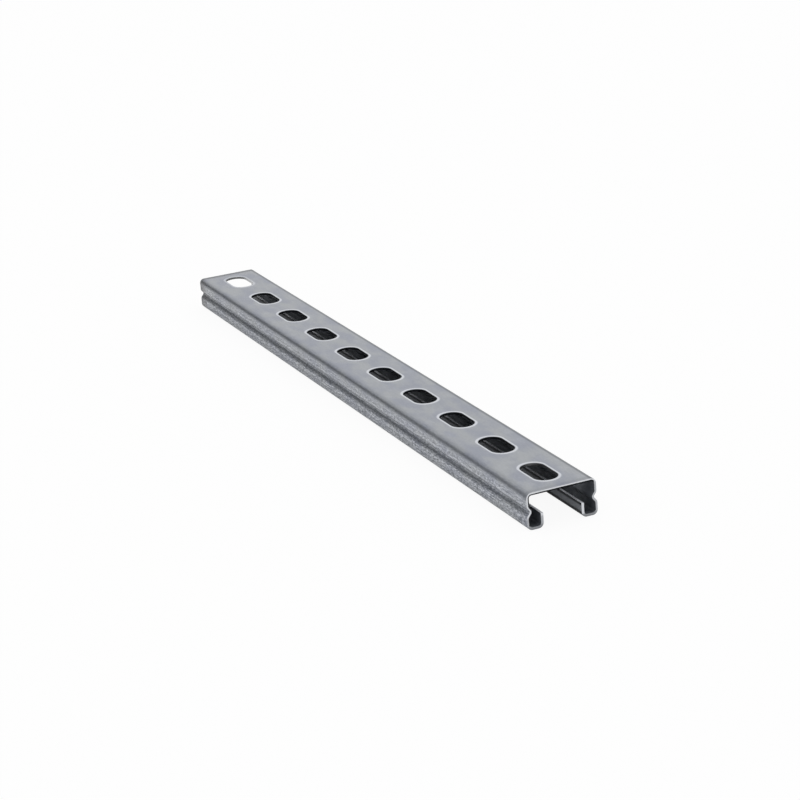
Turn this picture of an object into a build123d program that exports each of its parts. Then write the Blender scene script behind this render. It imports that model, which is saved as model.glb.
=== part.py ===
from build123d import *
import os
from math import cos, floor, radians, tan

# A slotted strut channel: one length of steel strip, roll-formed to a C with inturned lips
# and a V groove along each wall, with a row of slots punched through its web.
# It lies on its lips: X runs along the rail, Y across it, Z up to the web.
# The origin is at the middle of the underside.

# Driving dimensions, in millimetres and degrees
rail_length = 500.0
rail_width = 41.3          # over the lower walls, where the rail is widest
rail_height = 20.6         # from the lips' underside to the web's outer face
sheet_thickness = 1.5

corner_radius = 1.5        # inside radius where the web turns into the walls
lip_radius = 1.5           # inside radius of the two bends under each wall
lip_height = 8.2           # from the underside to the lip's sheared tip
mouth_width = 22.3         # clear width between the two lips

upper_wall_inset = 0.25    # the upper wall stands this far inside the lower one
groove_drop = 10.4         # from the web's outer face down to the groove's deepest line
groove_depth = 1.6         # measured from the upper wall's outer face
groove_flank = 38.0        # angle between each flank of the V and the wall
groove_radius = 1.0        # inside radius at the bottom of the V, on the outer face
shoulder_radius = 1.0      # inside radius where a wall breaks into a flank

slot_length = 28.0         # overall, along the rail
slot_width = 14.0
slot_pitch = 50.0


def wall_bends():
    # The bends of the +Y wall from the web down to the lip, each as the corner that the strip's
    # middle line would have, (y, z), and the bend's radius at that line
    to_middle = sheet_thickness / 2
    wall_y = rail_width / 2 - to_middle
    upper_wall_y = wall_y - upper_wall_inset
    lip_y = mouth_width / 2 + to_middle
    web_z = rail_height - to_middle
    groove_z = rail_height - groove_drop

    # The flanks of the V meet deeper than the groove, which its bend rounds off
    flank = radians(groove_flank)
    groove_bend = groove_radius + to_middle
    flank_depth = groove_depth + groove_bend * (1 / cos(flank) - 1)
    upper_shoulder_z = groove_z + flank_depth / tan(flank)
    lower_shoulder_z = groove_z - (flank_depth + upper_wall_inset) / tan(flank)

    return [
        ((upper_wall_y, web_z), corner_radius + to_middle),
        ((upper_wall_y, upper_shoulder_z), shoulder_radius + to_middle),
        ((upper_wall_y - flank_depth, groove_z), groove_bend),
        ((wall_y, lower_shoulder_z), shoulder_radius + to_middle),
        ((wall_y, to_middle), lip_radius + to_middle),
        ((lip_y, to_middle), lip_radius + to_middle),
    ]


def rolled_section():
    # One unbroken strip from lip tip to lip tip, as even in thickness as the sheet it is rolled from
    bends = wall_bends()
    lip_y = bends[-1][0][0]
    right = [corner for corner, _ in bends] + [(lip_y, lip_height)]
    left = [(-y, z) for y, z in reversed(right)]
    radii = [radius for _, radius in bends]
    middle_line = FilletPolyline(left + right, radius=radii[::-1] + radii)
    return Plane.YZ * trace(middle_line, sheet_thickness)


def slot_punches():
    # As many slots as the length has room for, centred on it, with half a pitch left at each end
    outline = Pos(0, 0, rail_height) * SlotOverall(slot_length, slot_width)
    punch = extrude(outline, -sheet_thickness)
    count = floor(rail_length / slot_pitch)
    return GridLocations(slot_pitch, slot_pitch, count, 1) * punch


def strut_channel():
    rail = extrude(rolled_section(), rail_length / 2, both=True)
    return rail - slot_punches()


os.makedirs("parts", exist_ok=True)
channel = strut_channel()
channel.label = "strut_channel"
export_step(channel, "parts/strut_channel.step")
print(f"strut_channel: {channel.volume / 1000:.2f} cm3, {channel.bounding_box().size}")
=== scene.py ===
import bmesh
import bpy
import math
from mathutils import Matrix, Vector


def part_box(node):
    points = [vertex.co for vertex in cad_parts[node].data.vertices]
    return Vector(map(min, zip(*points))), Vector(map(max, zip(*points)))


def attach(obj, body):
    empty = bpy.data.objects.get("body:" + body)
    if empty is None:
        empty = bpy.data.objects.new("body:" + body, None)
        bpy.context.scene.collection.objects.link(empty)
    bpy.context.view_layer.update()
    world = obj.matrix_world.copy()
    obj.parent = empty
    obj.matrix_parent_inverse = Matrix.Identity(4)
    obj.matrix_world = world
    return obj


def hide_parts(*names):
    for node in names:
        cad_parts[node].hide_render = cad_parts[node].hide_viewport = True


# A slotted strut channel: galvanised strip, punched, roll-formed and sheared to length.
# It lies on its lips, with X along the rail and the slotted web on top.

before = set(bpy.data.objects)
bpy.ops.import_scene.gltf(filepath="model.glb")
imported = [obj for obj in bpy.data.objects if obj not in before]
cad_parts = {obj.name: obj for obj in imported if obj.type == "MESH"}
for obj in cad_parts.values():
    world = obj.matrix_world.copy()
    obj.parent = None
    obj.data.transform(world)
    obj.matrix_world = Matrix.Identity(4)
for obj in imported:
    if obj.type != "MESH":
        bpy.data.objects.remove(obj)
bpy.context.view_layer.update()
railLow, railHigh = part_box("strut_channel")
mm = 0.001
halfLength, halfWidth, railTop = (side / mm for side in railHigh)
samePlace = 1e-3                           # mm; points closer than this are one
print("frame loaded, rail", [round(side, 2) for side in (2 * halfLength, 2 * halfWidth, railTop)], "mm")


rail = {                                   # millimetres and degrees, as the rolls and punch make it
    "sheet": 1.5,
    "cornerInside": 1.5,                   # inside radii of the bends
    "lipInside": 1.5,
    "grooveInside": 1.0,
    "shoulderInside": 1.0,
    "upperInset": 0.25,                    # the upper wall stands this far inside the lower one
    "grooveDrop": 10.4,                    # from the web's face to the groove's deepest line
    "grooveDepth": 1.6,
    "grooveFlank": 38.0,
    "lipHeight": 8.2,
    "mouth": 22.3,
    "slotLength": 28.0,
    "slotWidth": 14.0,
    "slotPitch": 50.0,
    "slotHalo": (1.6, 2.9),                # strip of painted highlight beside a slot and past its ends
    "slotRim": 0.18,                       # rolled-over edge where the punch went in
    "slotRimRows": 3,
    "edgeBreak": 0.12,                     # the other sheared edges
    "edgeBreakRows": 2,
    "arcSteps": 8,                         # rows in a quarter turn of slot or bend
    "sideSteps": 2,                        # and along half a slot's straight side
    "rowGap": 1.1,                         # widest row on a flat
    "smoothUnder": 32.0,                   # edges that turn less than this are shaded smooth
}


def newParts(result, kind):
    # The vertices, edges or faces among what an operator gave back
    return [item for item in result if isinstance(item, kind)]


def wholeMesh(bm):
    return bm.verts[:] + bm.edges[:] + bm.faces[:]


def wallCorners():
    # Corners of the strip's middle line down the +Y wall, (y, z), and the bend radius there
    half = rail["sheet"] / 2
    top = railTop - half
    wallY = halfWidth - half
    upperY = wallY - rail["upperInset"]
    lipY = rail["mouth"] / 2 + half
    grooveZ = railTop - rail["grooveDrop"]
    flank = math.radians(rail["grooveFlank"])
    grooveBend = rail["grooveInside"] + half
    depth = rail["grooveDepth"] + grooveBend * (1 / math.cos(flank) - 1)
    upperZ = grooveZ + depth / math.tan(flank)
    lowerZ = grooveZ - (depth + rail["upperInset"]) / math.tan(flank)
    return [
        (Vector((upperY, top)), rail["cornerInside"] + half),
        (Vector((upperY, upperZ)), rail["shoulderInside"] + half),
        (Vector((upperY - depth, grooveZ)), grooveBend),
        (Vector((wallY, lowerZ)), rail["shoulderInside"] + half),
        (Vector((wallY, half)), rail["lipInside"] + half),
        (Vector((lipY, half)), rail["lipInside"] + half),
        (Vector((lipY, rail["lipHeight"])), 0.0),
    ]


def rollPasses():
    # Each bend from the web down to the lip as (turn, radius on the outer skin, flat after it).
    # Turns are clockwise seen from +X, and the bottom of the groove turns the other way.
    corners = wallCorners()
    heading = Vector((1, 0))
    turns = []
    for (corner, _), (following, _) in zip(corners, corners[1:]):
        after = (following - corner).normalized()
        turns.append(heading.angle_signed(after))
        heading = after
    tangents = [radius * math.tan(abs(turn) / 2) for (_, radius), turn in zip(corners, turns)]
    tangents.append(0.0)                   # the tip has no bend
    passes = []
    for index, turn in enumerate(turns):
        (corner, radius), (following, _) = corners[index], corners[index + 1]
        skin = radius + math.copysign(rail["sheet"] / 2, turn)
        flat = (following - corner).length - tangents[index] - tangents[index + 1]
        passes.append((turn, skin, flat))
    return passes


def slotQuarter(bm, punched, webHalf):
    # A quarter of one pitch of the web: the slot's edge, the halo round it, then out to the border
    radius = rail["slotWidth"] / 2
    straight = rail["slotLength"] / 2 - radius
    tip = bm.verts.new((straight + radius, 0, railTop))
    bmesh.ops.spin(bm, geom=[tip], cent=(straight, 0, railTop), axis=(0, 0, 1), angle=math.pi / 2,
                   steps=rail["arcSteps"], use_duplicate=False)
    bm.verts.ensure_lookup_table()
    last = bm.verts[-1]
    for _ in range(rail["sideSteps"]):
        last = bmesh.ops.extrude_vert_indiv(bm, verts=[last])["verts"][0]
        last.co.x -= straight / rail["sideSteps"]
    for vert in bm.verts:
        vert[punched] = 1.0

    slotEdge = bm.edges[:]
    halo = bmesh.ops.extrude_edge_only(bm, edges=slotEdge)["geom"]
    for vert in newParts(halo, bmesh.types.BMVert):
        out = (vert.co - Vector((min(vert.co.x, straight), 0, railTop))).normalized()
        beside, past = rail["slotHalo"]
        vert.co += out * (beside + (past - beside) * out.x)
        vert[punched] = 0.0
    haloEdge = [edge for edge in newParts(halo, bmesh.types.BMEdge) if edge.is_boundary
                and all(vert[punched] == 0 for vert in edge.verts)]
    border = bmesh.ops.extrude_edge_only(bm, edges=haloEdge)["geom"]
    for vert in newParts(border, bmesh.types.BMVert):
        out = vert.co - Vector((min(vert.co.x, straight), 0, railTop))
        turn = math.atan2(out.y, out.x) / (math.pi / 4)         # 0 at the tip, 2 along the side
        alongX = min(1, 2 - turn) * (rail["slotPitch"] / 2 - straight) + min(vert.co.x, straight)
        vert.co = Vector((alongX, webHalf * min(1, turn), railTop))


def slottedWeb(bm, punched, webHalf):
    # The +Y half of the web: one pitch, mirrored from its quarter and laid end to end
    slotQuarter(bm, punched, webHalf)
    bmesh.ops.mirror(bm, geom=wholeMesh(bm), matrix=Matrix.Identity(4), merge_dist=samePlace, axis="X")
    count = round(2 * halfLength / rail["slotPitch"])
    onePitch = wholeMesh(bm)
    for place in range(1, count):
        copy = bmesh.ops.duplicate(bm, geom=onePitch)["geom"]
        bmesh.ops.translate(bm, verts=newParts(copy, bmesh.types.BMVert),
                            vec=(place * rail["slotPitch"], 0, 0))
    bmesh.ops.translate(bm, verts=bm.verts, vec=((1 - count) / 2 * rail["slotPitch"], 0, 0))
    bmesh.ops.remove_doubles(bm, verts=bm.verts, dist=samePlace)


def rollStrip(bm, across, webHalf):
    # Carries the web's border down the wall and under it to the lip, one row at a time
    border = [edge for edge in bm.edges
              if all(abs(vert.co.y - webHalf) < samePlace for vert in edge.verts)]
    place = Vector((webHalf, railTop))                  # (y, z) on the outer skin
    heading = Vector((1, 0))
    reach = webHalf
    for turn, skin, flat in rollPasses():
        centre = place + Vector((heading.y, -heading.x)) * math.copysign(skin, turn)
        steps = max(3, round(rail["arcSteps"] * abs(turn) / (math.pi / 2)))
        for _ in range(steps):
            ends = list(dict.fromkeys(vert for edge in border for vert in edge.verts))
            rolled = bmesh.ops.spin(bm, geom=border + ends, cent=(0, *centre), axis=(1, 0, 0),
                                    angle=-turn / steps, steps=1, use_duplicate=False)["geom_last"]
            border = newParts(rolled, bmesh.types.BMEdge)
            reach += skin * abs(turn) / steps
            for vert in newParts(rolled, bmesh.types.BMVert):
                vert[across] = reach
        swing = Matrix.Rotation(-turn, 2)
        place = centre + swing @ (place - centre)
        heading = swing @ heading
        rows = max(2, math.ceil(flat / rail["rowGap"]))
        for _ in range(rows):
            grown = bmesh.ops.extrude_edge_only(bm, edges=border)["geom"]
            fresh = newParts(grown, bmesh.types.BMVert)
            border = [edge for edge in newParts(grown, bmesh.types.BMEdge)
                      if all(vert in fresh for vert in edge.verts)]
            bmesh.ops.translate(bm, verts=fresh, vec=(0, *(heading * flat / rows)))
            reach += flat / rows
            for vert in fresh:
                vert[across] = reach
        place += heading * flat
    print("strip rolled to its lip,", round(reach, 1), "mm from the web's middle")


def breakEdges(bm, edges, offset, segments):
    bmesh.ops.bevel(bm, geom=edges, offset=offset, offset_type="OFFSET", affect="EDGES",
                    segments=segments, profile=0.5, material=-1, clamp_overlap=True)


def kindOfFace(face, outerSkin):
    # 0 rolled skin, 1 sheared end, 2 wall of a slot, 3 slit tip of a lip; also its material's number
    if len({vert in outerSkin for vert in face.verts}) == 1:
        return 0
    middle = face.calc_center_median()
    if abs(middle.x) > halfLength - samePlace:
        return 1
    return 2 if middle.z > railTop / 2 else 3


def rolledRail():
    bm = bmesh.new()
    across = bm.verts.layers.float.new("across")        # mm round the strip from the web's middle
    punched = bm.verts.layers.float.new("punched")      # 1 at a slot's edge
    depth = bm.verts.layers.float.new("depth")          # 0 on the outer skin, 1 on the inner
    cut = bm.faces.layers.int.new("cut")

    firstCorner, firstBend = wallCorners()[0]
    webHalf = firstCorner.x - firstBend
    slottedWeb(bm, punched, webHalf)
    for vert in bm.verts:
        vert[across] = vert.co.y
    rollStrip(bm, across, webHalf)

    bmesh.ops.mirror(bm, geom=wholeMesh(bm), matrix=Matrix.Identity(4), merge_dist=samePlace, axis="Y")
    for vert in bm.verts:
        vert[across] = math.copysign(vert[across], vert.co.y)
    bmesh.ops.recalc_face_normals(bm, faces=bm.faces)
    webFace = max(bm.faces, key=lambda face: face.calc_center_median().z)
    if webFace.normal.z < 0:
        bmesh.ops.reverse_faces(bm, faces=bm.faces)
    outerSkin = set(bm.verts)
    bmesh.ops.solidify(bm, geom=bm.faces[:], thickness=rail["sheet"])
    for vert in bm.verts:
        vert[depth] = 0.0 if vert in outerSkin else 1.0
    for face in bm.faces:
        face[cut] = kindOfFace(face, outerSkin)

    slotTops = []
    otherCuts = []
    for edge in bm.edges:
        kinds = {face[cut] for face in edge.link_faces}
        if kinds == {0, 2} and all(vert in outerSkin for vert in edge.verts):
            slotTops.append(edge)
        elif len(kinds) > 1:
            otherCuts.append(edge)
    breakEdges(bm, otherCuts, rail["edgeBreak"], rail["edgeBreakRows"])
    breakEdges(bm, [edge for edge in slotTops if edge.is_valid], rail["slotRim"], rail["slotRimRows"])
    closed = all(len(edge.link_faces) == 2 for edge in bm.edges)
    triangles = sum(len(face.verts) - 2 for face in bm.faces)
    print("rail solid, closed:", closed, "triangles:", triangles)
    return bm


def finishedMesh(bm, name, materials):
    bmesh.ops.scale(bm, vec=(mm, mm, mm), verts=bm.verts)
    cut = bm.faces.layers.int["cut"]
    for face in bm.faces:
        face.material_index = face[cut]
        face.smooth = True
    mesh = bpy.data.meshes.new(name)
    bm.to_mesh(mesh)
    bm.free()
    for material in materials:
        mesh.materials.append(material)
    mesh.set_sharp_from_angle(angle=math.radians(rail["smoothUnder"]))
    piece = bpy.data.objects.new(name, mesh)
    bpy.context.scene.collection.objects.link(piece)
    return piece


def linearColour(hexText):
    parts = [int(hexText[i:i + 2], 16) / 255 for i in (1, 3, 5)]
    return [p / 12.92 if p <= 0.04045 else ((p + 0.055) / 1.055) ** 2.4 for p in parts] + [1.0]


def addNode(tree, kind, inputs=None, **settings):
    # Inputs go by name or number, each with a value, a socket, or a node whose first output feeds it
    node = tree.nodes.new("ShaderNode" + kind)
    for name, value in settings.items():
        setattr(node, name, value)
    for name, value in (inputs or {}).items():
        if isinstance(value, bpy.types.Node):
            value = value.outputs[0]
        if isinstance(value, bpy.types.NodeSocket):
            tree.links.new(value, node.inputs[name])
        else:
            node.inputs[name].default_value = value
    return node


def newMaterial(name):
    material = bpy.data.materials.new(name)
    material.use_nodes = True
    tree = material.node_tree
    tree.nodes.clear()
    return material, tree


def railPlace(tree):
    # Place on the rail in mm: X along it from the middle, Y across it, Z up from the underside
    metres = addNode(tree, "TexCoord").outputs["Object"]
    scaled = addNode(tree, "VectorMath", {0: metres, "Scale": 1 / mm}, operation="SCALE")
    return addNode(tree, "SeparateXYZ", {0: scaled}).outputs


def shareOf(tree, *parts):
    # Multiplies shares together. One written (value, start, end) eases from 0 to 1 as the value goes
    # from start to end, which may run downwards, or between two levels given after them.
    share = None
    for part in parts:
        if isinstance(part, tuple):
            value, start, end, *levels = part
            low, high = levels or (0.0, 1.0)
            part = addNode(tree, "MapRange", {
                "Value": value, "From Min": start, "From Max": end, "To Min": low, "To Max": high},
                interpolation_type="SMOOTHSTEP")
        if share is None:
            share = part
        else:
            share = addNode(tree, "Math", {0: share, 1: part}, operation="MULTIPLY")
    return share


def shareAt(tree, place, reach, points):
    # A share given by (place, share) points between -reach and reach, straight in between
    span = addNode(tree, "MapRange", {"Value": place, "From Min": -reach, "From Max": reach})
    node = addNode(tree, "ValToRGB", {0: span})
    stops = node.color_ramp.elements
    stops[1].color = stops[0].color
    for spot, share in points:
        stops.new((spot + reach) / (2 * reach)).color = (share, share, share, 1)
    return node


def layered(tree, base, layers):
    # Lays each colour, a hex or a socket, over the last by its share; a colour Mix has A at 6, B at 7
    tone = linearColour(base)
    for colour, share in layers:
        over = linearColour(colour) if isinstance(colour, str) else colour
        tone = addNode(tree, "Mix", {0: share, 6: tone, 7: over}, data_type="RGBA").outputs[2]
    return tone


zinc = {                                   # hot-dip galvanised strip
    "skin": "#9195A0",
    "cloud": "#9FA2A6",                    # lighter, greyer patches of zinc
    "cloudSize": (24.0, 11.0),             # mm along and across the strip
    "cloudEdge": (0.35, 0.65),             # noise levels between which a patch sets in
    "spangle": 5.0,                        # mm across a zinc crystal, flattened by the skin pass
    "spangleBright": (0.75, 1.0),          # which crystals catch the light
    "spangleShare": 0.08,
    "sidesApart": 7.0,                     # so that the inner skin has a pattern of its own

    "streak": (15.0, 0.8),                 # drawn coarser than the real hairlines so that they show
    "speck": (4.5, 0.8),
    "grit": (2.0, 0.75),
    "gritShare": 0.6,                      # grit, against specks
    "markShare": 0.75,                     # and both, against streaks
    # pale streaks of the grain, also the colour of the painted highlights
    "streakAndHighlight": "#C9CCD2",
    "streakDark": "#64686E",
    "grainLight": (0.5, 0.6),              # noise levels between which the light streaks set in,
    "grainDark": (0.5, 0.4),               # the dark ones,
    "grainMatt": (0.65, 0.35),             # and the matt ones
    "webRub": 0.08,                        # how much the rolls mark the web, against the walls
    "rub": (16.5, 29.0),                   # mm round the section from the web's middle
    "roughness": (0.30, 0.44),             # rubbed bright, and where the zinc stays matt
    "webRoughness": 0.37,
    "relief": 0.02,                        # mm
    "reliefShare": 0.5,

    "across": 60.0,                        # mm, a little over half the strip's width
    "along": 260.0,                        # and half its length
    "darkTone": "#50545A",                     # darker tone: painted shade at the bends and the groove, also the darker rear walls and lines by the cuts
    "shadeAt": (                            # mm from the web's middle, and the share of painted shade: dark lines along the bends and the groove
        (-38.0, 0.25), (-36.0, 0.18), (-34.8, 0.0), (-33.4, 0.06), (-32.5, 0.15), (-31.5, 0.82),
        (-30.5, 0.46), (-29.4, 0.0), (-22.8, 0.0), (-22.0, 0.3), (-21.4, 0.6), (-20.6, 0.62),
        (-19.2, 0.32), (-18.2, 0.17), (-16.0, 0.0), (16.4, 0.0), (17.3, 0.62), (19.0, 0.9),
        (20.8, 0.6), (22.4, 0.0), (29.0, 0.0), (30.2, 0.15), (31.3, 0.6), (33.4, 0.12),
        (34.8, 0.0), (38.0, 0.2)),
    "highlightAt": (                          # and the share of painted highlight, mostly on the shoulder above the groove
        (-35.4, 0.0), (-34.4, 0.14), (-33.2, 0.06), (-32.0, 0.0), (-30.2, 0.0), (-28.8, 0.6),
        (-26.8, 0.6), (-25.4, 0.0), (-24.4, 0.0), (-23.2, 0.2), (-22.4, 0.0), (25.2, 0.0),
        (26.6, 0.4), (28.4, 0.4), (29.8, 0.0), (33.4, 0.0), (34.4, 0.12), (35.4, 0.0)),
    "endDarkAt": (                         # mm along the rail: darker lines on the skin beside the two cuts
        (-248.0, 0.9), (-245.2, 0.0), (246.2, 0.0), (247.6, 0.22), (249.2, 0.0)),
    "rearHighlight": 0.5,                     # how much of the painted highlight is left at the rear end
    "rearDark": 0.14,                      # and how much darker the walls are there
    "patchTone": "#6B6762",                # a rust-grey patch at the rear end of the walls
    "patch": (-234.0, -246.0),             # mm along the rail
    "patchFrom": (17.0, 21.0),             # and round the section
    "patchShare": 0.45,

    "slotHighlight": "#DDE0E5",                # painted highlight in a ring round a slot
    "haloIn": (1.05, 0.8),                 # how it fades, with 1 at the slot's edge
    "haloOut": (0.06, 0.5),                # and 0 where the ring ends
    "haloShare": 0.74,
    "rearSlot": (-212.0, -203.0),          # round the rearmost slot the painted highlight is weaker
    "rearSlotShare": 0.6,

    "inside": "#969AA0",                   # unpolished zinc under a film of rolling oil
    "insideLight": "#B0B4BA",
    "insideEndShade": "#54585E",                # painted shade on the inner skin over the last mm before each open end, where light gets in
    "endReach": (230.0, 245.0),
    "mouth": "#212327",                    # painted shade on the lips' faces inside the rail
    "mouthReach": (46.0, 49.0),            # from the lip's second bend, which turns up into the mouth
    "mouthBand": "#85888D",              # a lighter band along the lip's face, within the painted shade
    "bandLow": (50.4, 51.8),
    "bandHigh": (55.0, 53.8),
    "insideRoughness": 0.55,
    "insideMetal": 0.35,                   # the oil film hides most of the metal's gloss
}


def stripPlace(tree, alongMm, acrossMm):
    # Place on the strip as it lay flat, in units of a pattern's size: along, round and through it
    across = addNode(tree, "Attribute", attribute_name="across").outputs["Fac"]
    depth = addNode(tree, "Attribute", attribute_name="depth").outputs["Fac"]
    return addNode(tree, "CombineXYZ", {
        0: addNode(tree, "Math", {0: railPlace(tree)["X"], 1: alongMm}, operation="DIVIDE"),
        1: addNode(tree, "Math", {0: across, 1: acrossMm}, operation="DIVIDE"),
        2: addNode(tree, "Math", {0: depth, 1: zinc["sidesApart"]}, operation="MULTIPLY")})


def rolledGrain(tree):
    # Hairlines that the rolls drew out, broken up by specks and grit
    streak = addNode(tree, "TexNoise", {
        "Vector": stripPlace(tree, *zinc["streak"]), "Scale": 1.0, "Detail": 3.0})
    speck = addNode(tree, "TexNoise", {
        "Vector": stripPlace(tree, *zinc["speck"]), "Scale": 1.0, "Detail": 2.0})
    grit = addNode(tree, "TexNoise", {
        "Vector": stripPlace(tree, *zinc["grit"]), "Scale": 1.0, "Detail": 1.0})
    marks = addNode(tree, "Mix", {0: zinc["gritShare"], 2: speck, 3: grit})
    return addNode(tree, "Mix", {0: zinc["markShare"], 2: streak, 3: marks})


def galvanisedStrip():
    # Zinc on steel strip, skin-passed and roll-formed: a soft blue-grey sheen on the flats, streaked
    # along the walls, painted shade at the bends, groove, lips' faces and open ends, painted highlights
    # on shoulders and round slots
    material, tree = newMaterial("galvanised_strip_roll_formed")
    across = addNode(tree, "Attribute", attribute_name="across").outputs["Fac"]
    inner = addNode(tree, "Attribute", attribute_name="depth").outputs["Fac"]
    punched = addNode(tree, "Attribute", attribute_name="punched").outputs["Fac"]
    along = railPlace(tree)["X"]
    reach = addNode(tree, "Math", {0: across}, operation="ABSOLUTE")
    ends = addNode(tree, "Math", {0: along}, operation="ABSOLUTE")

    cloud = addNode(tree, "TexNoise", {
        "Vector": stripPlace(tree, *zinc["cloudSize"]), "Scale": 1.0, "Detail": 2.0})
    spangle = addNode(tree, "TexVoronoi", {
        "Vector": stripPlace(tree, zinc["spangle"], zinc["spangle"]), "Scale": 1.0})
    crystal = addNode(tree, "SeparateColor", {0: spangle.outputs["Color"]})
    grain = rolledGrain(tree)
    light = shareOf(tree, (grain, *zinc["grainLight"]))
    dark = shareOf(tree, (grain, *zinc["grainDark"]))
    rubbed = shareOf(tree, (reach, *zinc["rub"], zinc["webRub"], 1.0))
    lipFace = shareOf(tree, (reach, *zinc["mouthReach"]), (inner, 1.0, 0.0))
    tone = layered(tree, zinc["skin"], (
        (zinc["cloud"], shareOf(tree, (cloud, *zinc["cloudEdge"]))),
        (zinc["streakAndHighlight"], shareOf(
            tree, (crystal, *zinc["spangleBright"], 0.0, zinc["spangleShare"]))),
        # painted highlight along the walls, weaker toward the rear end
        (zinc["streakAndHighlight"], shareOf(
            tree, (along, -halfLength, halfLength, zinc["rearHighlight"], 1.0),
            shareAt(tree, across, zinc["across"], zinc["highlightAt"]))),
        (zinc["streakAndHighlight"], shareOf(tree, rubbed, light)),
        (zinc["streakDark"], shareOf(tree, rubbed, dark)),
        (zinc["darkTone"], shareOf(
            tree, rubbed, (along, halfLength, -halfLength, 0.0, zinc["rearDark"]))),
        # painted shade along the bends and the groove
        (zinc["darkTone"], shareAt(tree, across, zinc["across"], zinc["shadeAt"])),
        (zinc["patchTone"], shareOf(
            tree, (reach, *zinc["patchFrom"], 0.0, zinc["patchShare"]), (along, *zinc["patch"]))),
        # painted highlight round the slots
        (zinc["slotHighlight"], shareOf(
            tree, (punched, *zinc["haloOut"], 0.0, zinc["haloShare"]), (punched, *zinc["haloIn"]),
            (along, *zinc["rearSlot"], zinc["rearSlotShare"], 1.0))),
        (zinc["darkTone"], shareAt(tree, along, zinc["along"], zinc["endDarkAt"])),
        (zinc["inside"], inner),
        (zinc["insideLight"], shareOf(tree, inner, light)),
        # painted shade inside near the open ends
        (zinc["insideEndShade"], shareOf(tree, inner, (ends, *zinc["endReach"]))),
        # painted shade on the lips' faces
        (zinc["mouth"], lipFace),
        (zinc["mouthBand"], shareOf(
            tree, lipFace, (reach, *zinc["bandLow"]), (reach, *zinc["bandHigh"]))),
    ))

    inward = addNode(tree, "Math", {0: inner, 1: lipFace}, operation="MAXIMUM")
    sheen = addNode(tree, "Mix", {
        0: rubbed, 2: zinc["webRoughness"],
        3: shareOf(tree, (grain, *zinc["grainMatt"], *zinc["roughness"]))})
    relief = addNode(tree, "Bump", {
        "Height": shareOf(tree, rubbed, grain), "Strength": zinc["reliefShare"],
        "Distance": zinc["relief"] * mm})
    shader = addNode(tree, "BsdfPrincipled", {
        "Base Color": tone,
        "Metallic": addNode(tree, "Mix", {0: inward, 2: 1.0, 3: zinc["insideMetal"]}),
        "Roughness": addNode(tree, "Mix", {0: inward, 2: sheen, 3: zinc["insideRoughness"]}),
        "Normal": relief})
    addNode(tree, "OutputMaterial", {"Surface": shader})
    return material


tear = {                                   # where cut steel tears
    "size": 0.5,                           # mm
    "wander": 0.3,                         # how far the torn edge wanders, in sheets
    "edge": (0.08, 0.28),                  # in sheets past the clean share
    "relief": 0.05,                        # mm
    "reliefShare": 0.4,
}


def raggedTear(tree, clean):
    # Rises from the outer skin through the sheet, and passes 0 near the end of the clean share
    grain = addNode(tree, "TexNoise", {
        "Vector": addNode(tree, "TexCoord").outputs["Object"],
        "Scale": 1 / (tear["size"] * mm), "Detail": 2.0})
    depth = addNode(tree, "Attribute", attribute_name="depth").outputs["Fac"]
    past = addNode(tree, "Math", {0: depth, 1: clean}, operation="SUBTRACT")
    return addNode(tree, "Math", {0: grain, 1: tear["wander"], 2: past}, operation="MULTIPLY_ADD")


def bareSteel(tree, tone, ragged, roughness):
    relief = addNode(tree, "Bump", {
        "Height": ragged, "Strength": tear["reliefShare"], "Distance": tear["relief"] * mm})
    shader = addNode(tree, "BsdfPrincipled", {
        "Base Color": tone, "Metallic": 1.0, "Roughness": roughness, "Normal": relief})
    addNode(tree, "OutputMaterial", {"Surface": shader})


shear = {                                  # the ends, cut by a shear
    "bright": "#D8DADE",                   # the clean band along the outer skin
    "grey": "#B2B4B8",                     # the same low on the near side
    "far": "#B4B6BA",                      # on the far wall
    "dim": "#8E9094",                      # and on the flanges
    "torn": "#0C0D0E",
    "tornNear": "#222326",                 # a little paler where the blade started
    "nearEnd": (-12.0, -16.0),             # mm across the rail
    "nearHalf": (8.0, 0.0),
    "farWall": (15.5, 16.5),
    "lips": (16.5, 14.0),                  # mm either way from the middle
    "underWeb": (19.0, 18.0),              # mm above the underside
    "underGroove": (12.0, 8.0),
    "low": (7.5, 6.0),
    "flange": (2.6, 1.6),
    "clean": 0.42,                         # share of the sheet that is cut clean
    "cleanNear": 0.5,
    "cleanLow": 0.6,
    "cleanFar": 0.75,
    "cleanLips": 1.2,                      # all of it
    "roughness": 0.42,
}


def shearedEnd():
    # Steel sheared to length: a bright clean line along the outer skin over a dark torn one
    material, tree = newMaterial("steel_sheared_end")
    place = railPlace(tree)
    across, height = place["Y"], place["Z"]
    reach = addNode(tree, "Math", {0: across}, operation="ABSOLUTE")
    nearEnd = shareOf(tree, (across, *shear["nearEnd"]))
    underGroove = shareOf(tree, (height, *shear["underGroove"]))
    flange = shareOf(tree, (height, *shear["flange"]))
    lips = shareOf(tree, underGroove, (reach, *shear["lips"]))
    farWall = shareOf(tree, (across, *shear["farWall"]), (height, *shear["underWeb"]))
    clean = shear["clean"]
    for part, name in ((nearEnd, "cleanNear"), (underGroove, "cleanLow"), (farWall, "cleanFar"),
                       (lips, "cleanLips"), (flange, "cleanLips")):
        clean = addNode(tree, "Mix", {0: part, 2: clean, 3: shear[name]})
    ragged = raggedTear(tree, clean)
    torn = layered(tree, shear["torn"], ((shear["tornNear"], nearEnd), (shear["torn"], underGroove)))
    tone = layered(tree, shear["bright"], (
        (shear["grey"], shareOf(tree, (height, *shear["low"]), (across, *shear["nearHalf"]))),
        (shear["far"], farWall),
        (shear["dim"], flange),
        (torn, shareOf(tree, (ragged, *tear["edge"])))))
    bareSteel(tree, tone, ragged, shear["roughness"])
    return material


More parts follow.
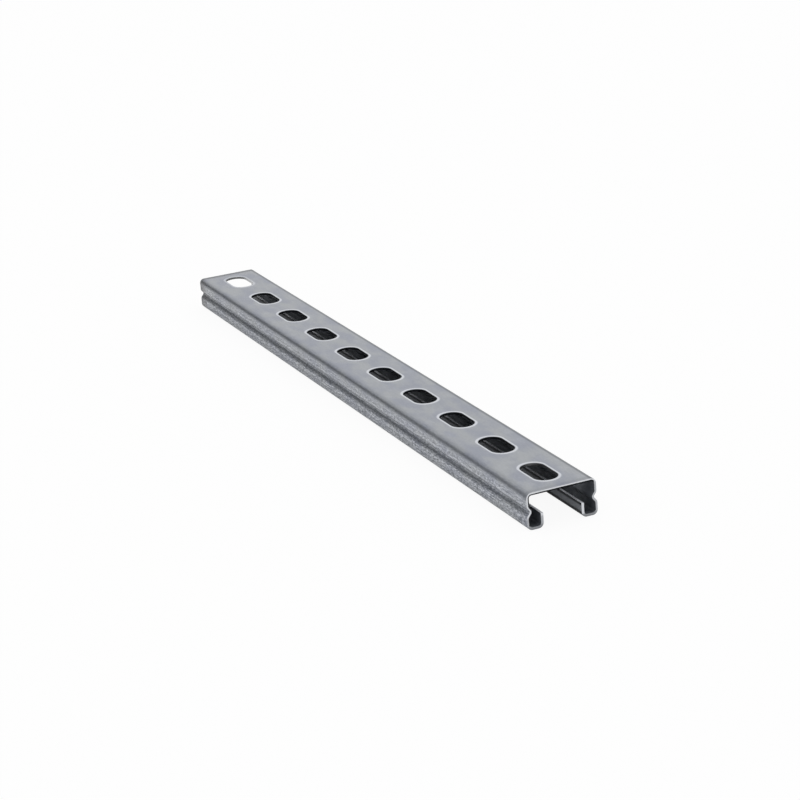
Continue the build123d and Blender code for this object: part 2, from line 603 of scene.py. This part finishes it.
punch = {                                  # the slots' walls
    # painted shade: the slot walls dark as the shade inside the rail
    "torn": "#2C2E32",
    "litWall": "#F2F3F4",                  # painted light: pale at the two end slots, where light comes through
    "litWallAt": ((-209.0, 1.0), (-202.0, 0.0), (202.0, 0.0), (209.0, 0.14)),   # mm along, and share
    "roughness": 0.5,
}


def punchedWall():
    # Steel punched through, torn from the very edge; its walls are painted dark as shade, and pale at
    # the two end slots as painted light
    material, tree = newMaterial("steel_punched_wall")
    litWallShare = shareAt(tree, railPlace(tree)["X"], zinc["along"], punch["litWallAt"])
    tone = layered(tree, punch["torn"], ((punch["litWall"], litWallShare),))
    bareSteel(tree, tone, raggedTear(tree, 0.0), punch["roughness"])
    return material


slit = {                                   # the strip's own two edges
    # painted highlight: the tips are pale so that they show as bright lines inside the rail
    "zinc": "#E6E8EC",
    "metallic": 0.1,                       # low, so that the pale tip scatters the light inside the rail
    "roughness": 0.6,
    "wave": (6.0, 1.0),                    # mm along and across
    "waveEdge": (0.5, 0.3),
    "relief": 0.05,                        # mm
    "reliefShare": 0.4,
}


def slitEdge():
    # The strip's own edge, slit and then coated: rough zinc, painted pale as a highlight so that it
    # shows as a bright line inside the rail
    material, tree = newMaterial("slit_zinc_edge")
    wave = addNode(tree, "TexNoise", {
        "Vector": stripPlace(tree, *slit["wave"]), "Scale": 1.0, "Detail": 2.0})
    tone = layered(tree, slit["zinc"], ((zinc["skin"], shareOf(tree, (wave, *slit["waveEdge"]))),))
    relief = addNode(tree, "Bump", {
        "Height": wave, "Strength": slit["reliefShare"], "Distance": slit["relief"] * mm})
    shader = addNode(tree, "BsdfPrincipled", {
        "Base Color": tone, "Metallic": slit["metallic"], "Roughness": slit["roughness"],
        "Normal": relief})
    addNode(tree, "OutputMaterial", {"Surface": shader})
    return material


channel = finishedMesh(rolledRail(), "rolled_strut_channel",
                       [galvanisedStrip(), shearedEnd(), punchedWall(), slitEdge()])
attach(channel, "root")
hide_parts("strut_channel")
print("channel made")


studio = {                                 # metres
    "floor": "#FAFAFA",
    "floorSize": 6.0,
    "floorGap": 0.05 * mm,                 # under the rail, so that the two don't flicker
    "floorShown": 0.92,                    # share of plain white that the floor shows, over its shadow
    "floorMirrored": 0.7,                  # the same in the metal, where the floor lies open
    "floorClosed": 0.12,                   # and what is left of it under the rail
    "openWithin": 0.06,                    # how near something has to be to close the floor in
    "openness": (0.3, 0.8),                # from closed to open
    "sky": 0.9,                            # level of the plain white room
    "card": "#B4B4B4",                     # grey card that draws the dark lines of the bends
    "cardWidth": 0.75,
    "cardHeight": 0.5,
    "cardDistance": 1.15,
    "cardHeading": 28.0,                   # degrees from -X toward -Y
    "softboxPlace": (0.1, 0.0, 1.4),
    "softboxSide": 1.2,
    "softboxWatts": 0.5,
}


def stageObject(name, bm, material):
    mesh = bpy.data.meshes.new(name)
    bm.to_mesh(mesh)
    bm.free()
    mesh.materials.append(material)
    prop = bpy.data.objects.new(name, mesh)
    bpy.context.scene.collection.objects.link(prop)
    return prop


def floorPaper():
    # Matt white paper that keeps the object's shadow; it also shows as white in the metal
    material, tree = newMaterial("matt_floor_paper")
    rays = addNode(tree, "LightPath").outputs
    paper = addNode(tree, "BsdfDiffuse", {"Color": linearColour(studio["floor"])})
    white = addNode(tree, "Emission", {"Color": (1, 1, 1, 1), "Strength": 1.0})
    openness = addNode(tree, "AmbientOcclusion", {"Distance": studio["openWithin"]}, samples=8)
    mirrored = addNode(tree, "Math", {0: rays["Is Glossy Ray"], 1: rays["Is Transmission Ray"]},
                       operation="MAXIMUM")
    gloss = shareOf(tree, mirrored, studio["floorMirrored"], (
        openness.outputs["AO"], *studio["openness"], studio["floorClosed"], 1.0))
    shown = addNode(tree, "Math", {0: rays["Is Camera Ray"], 1: studio["floorShown"], 2: gloss},
                    operation="MULTIPLY_ADD")
    addNode(tree, "OutputMaterial", {
        "Surface": addNode(tree, "MixShader", {0: shown, 1: paper, 2: white})})
    return material


def studioFloor():
    bm = bmesh.new()
    bmesh.ops.create_grid(bm, x_segments=1, y_segments=1, size=studio["floorSize"] / 2)
    bmesh.ops.translate(bm, verts=bm.verts, vec=(0, 0, railLow.z - studio["floorGap"]))
    stageObject("studio_floor", bm, floorPaper())


def greyCard():
    # Stands out of view at the back left, where the bends and the groove mirror it
    bm = bmesh.new()
    bmesh.ops.create_grid(bm, x_segments=1, y_segments=1, size=0.5)
    bmesh.ops.scale(bm, verts=bm.verts, vec=(studio["cardHeight"], studio["cardWidth"], 1))
    heading = math.radians(studio["cardHeading"])
    turn = Matrix.Rotation(heading, 4, "Z") @ Matrix.Rotation(math.pi / 2, 4, "Y")
    bmesh.ops.transform(bm, matrix=turn, verts=bm.verts)
    bmesh.ops.translate(bm, verts=bm.verts, vec=(-studio["cardDistance"] * math.cos(heading),
                                                 -studio["cardDistance"] * math.sin(heading),
                                                 studio["cardHeight"] / 2))
    material, tree = newMaterial("grey_card")
    grey = addNode(tree, "BsdfDiffuse", {"Color": linearColour(studio["card"])})
    addNode(tree, "OutputMaterial", {"Surface": grey})
    card = stageObject("grey_card", bm, material)
    card.visible_camera = False
    card.visible_diffuse = False


def studioWorld():
    # A plain room, full white wherever the camera or the metal sees it
    world = bpy.data.worlds.new("studio")
    world.use_nodes = True
    tree = world.node_tree
    tree.nodes.clear()
    rays = addNode(tree, "LightPath").outputs
    mirrored = addNode(tree, "Math", {0: rays["Is Glossy Ray"], 1: rays["Is Transmission Ray"]},
                       operation="MAXIMUM")
    seen = addNode(tree, "Math", {0: rays["Is Camera Ray"], 1: mirrored}, operation="MAXIMUM")
    level = addNode(tree, "Mix", {0: seen, 2: studio["sky"], 3: 1.0})
    sky = addNode(tree, "Background", {"Color": (1, 1, 1, 1), "Strength": level})
    addNode(tree, "OutputWorld", {"Surface": sky})
    bpy.context.scene.world = world


def overheadSoftbox():
    data = bpy.data.lights.new("overhead", "AREA")
    data.size = studio["softboxSide"]
    data.energy = studio["softboxWatts"]
    lamp = bpy.data.objects.new("overhead", data)
    lamp.location = studio["softboxPlace"]
    lamp.rotation_euler = (-lamp.location).to_track_quat("-Z", "Y").to_euler()
    bpy.context.scene.collection.objects.link(lamp)


view = {                                   # where the camera stands, from the rail's middle
    "heading": 22.69,                      # degrees from -X toward +Y
    "dip": 18.84,
    "roll": 4.72,
    "distance": 1.4428,
    "aim": (0.01075, 0.01413, -0.0131),
    "lens": 106.4,
    "sensor": 36.0,
}


def studioCamera():
    heading, dip = math.radians(view["heading"]), math.radians(view["dip"])
    forward = Vector((-math.cos(heading) * math.cos(dip),
                      math.sin(heading) * math.cos(dip),
                      -math.sin(dip)))
    data = bpy.data.cameras.new("camera")
    data.lens = view["lens"]
    data.sensor_width = view["sensor"]
    camera = bpy.data.objects.new("camera", data)
    roll = Matrix.Rotation(-math.radians(view["roll"]), 4, "Z")
    turn = forward.to_track_quat("-Z", "Y").to_matrix().to_4x4() @ roll
    aim = (railLow + railHigh) / 2 + Vector(view["aim"])
    camera.matrix_world = Matrix.Translation(aim - forward * view["distance"]) @ turn
    bpy.context.scene.collection.objects.link(camera)
    bpy.context.scene.camera = camera


studioFloor()
greyCard()
studioWorld()
overheadSoftbox()
studioCamera()
bpy.context.scene.view_settings.view_transform = "Standard"
print("studio set")
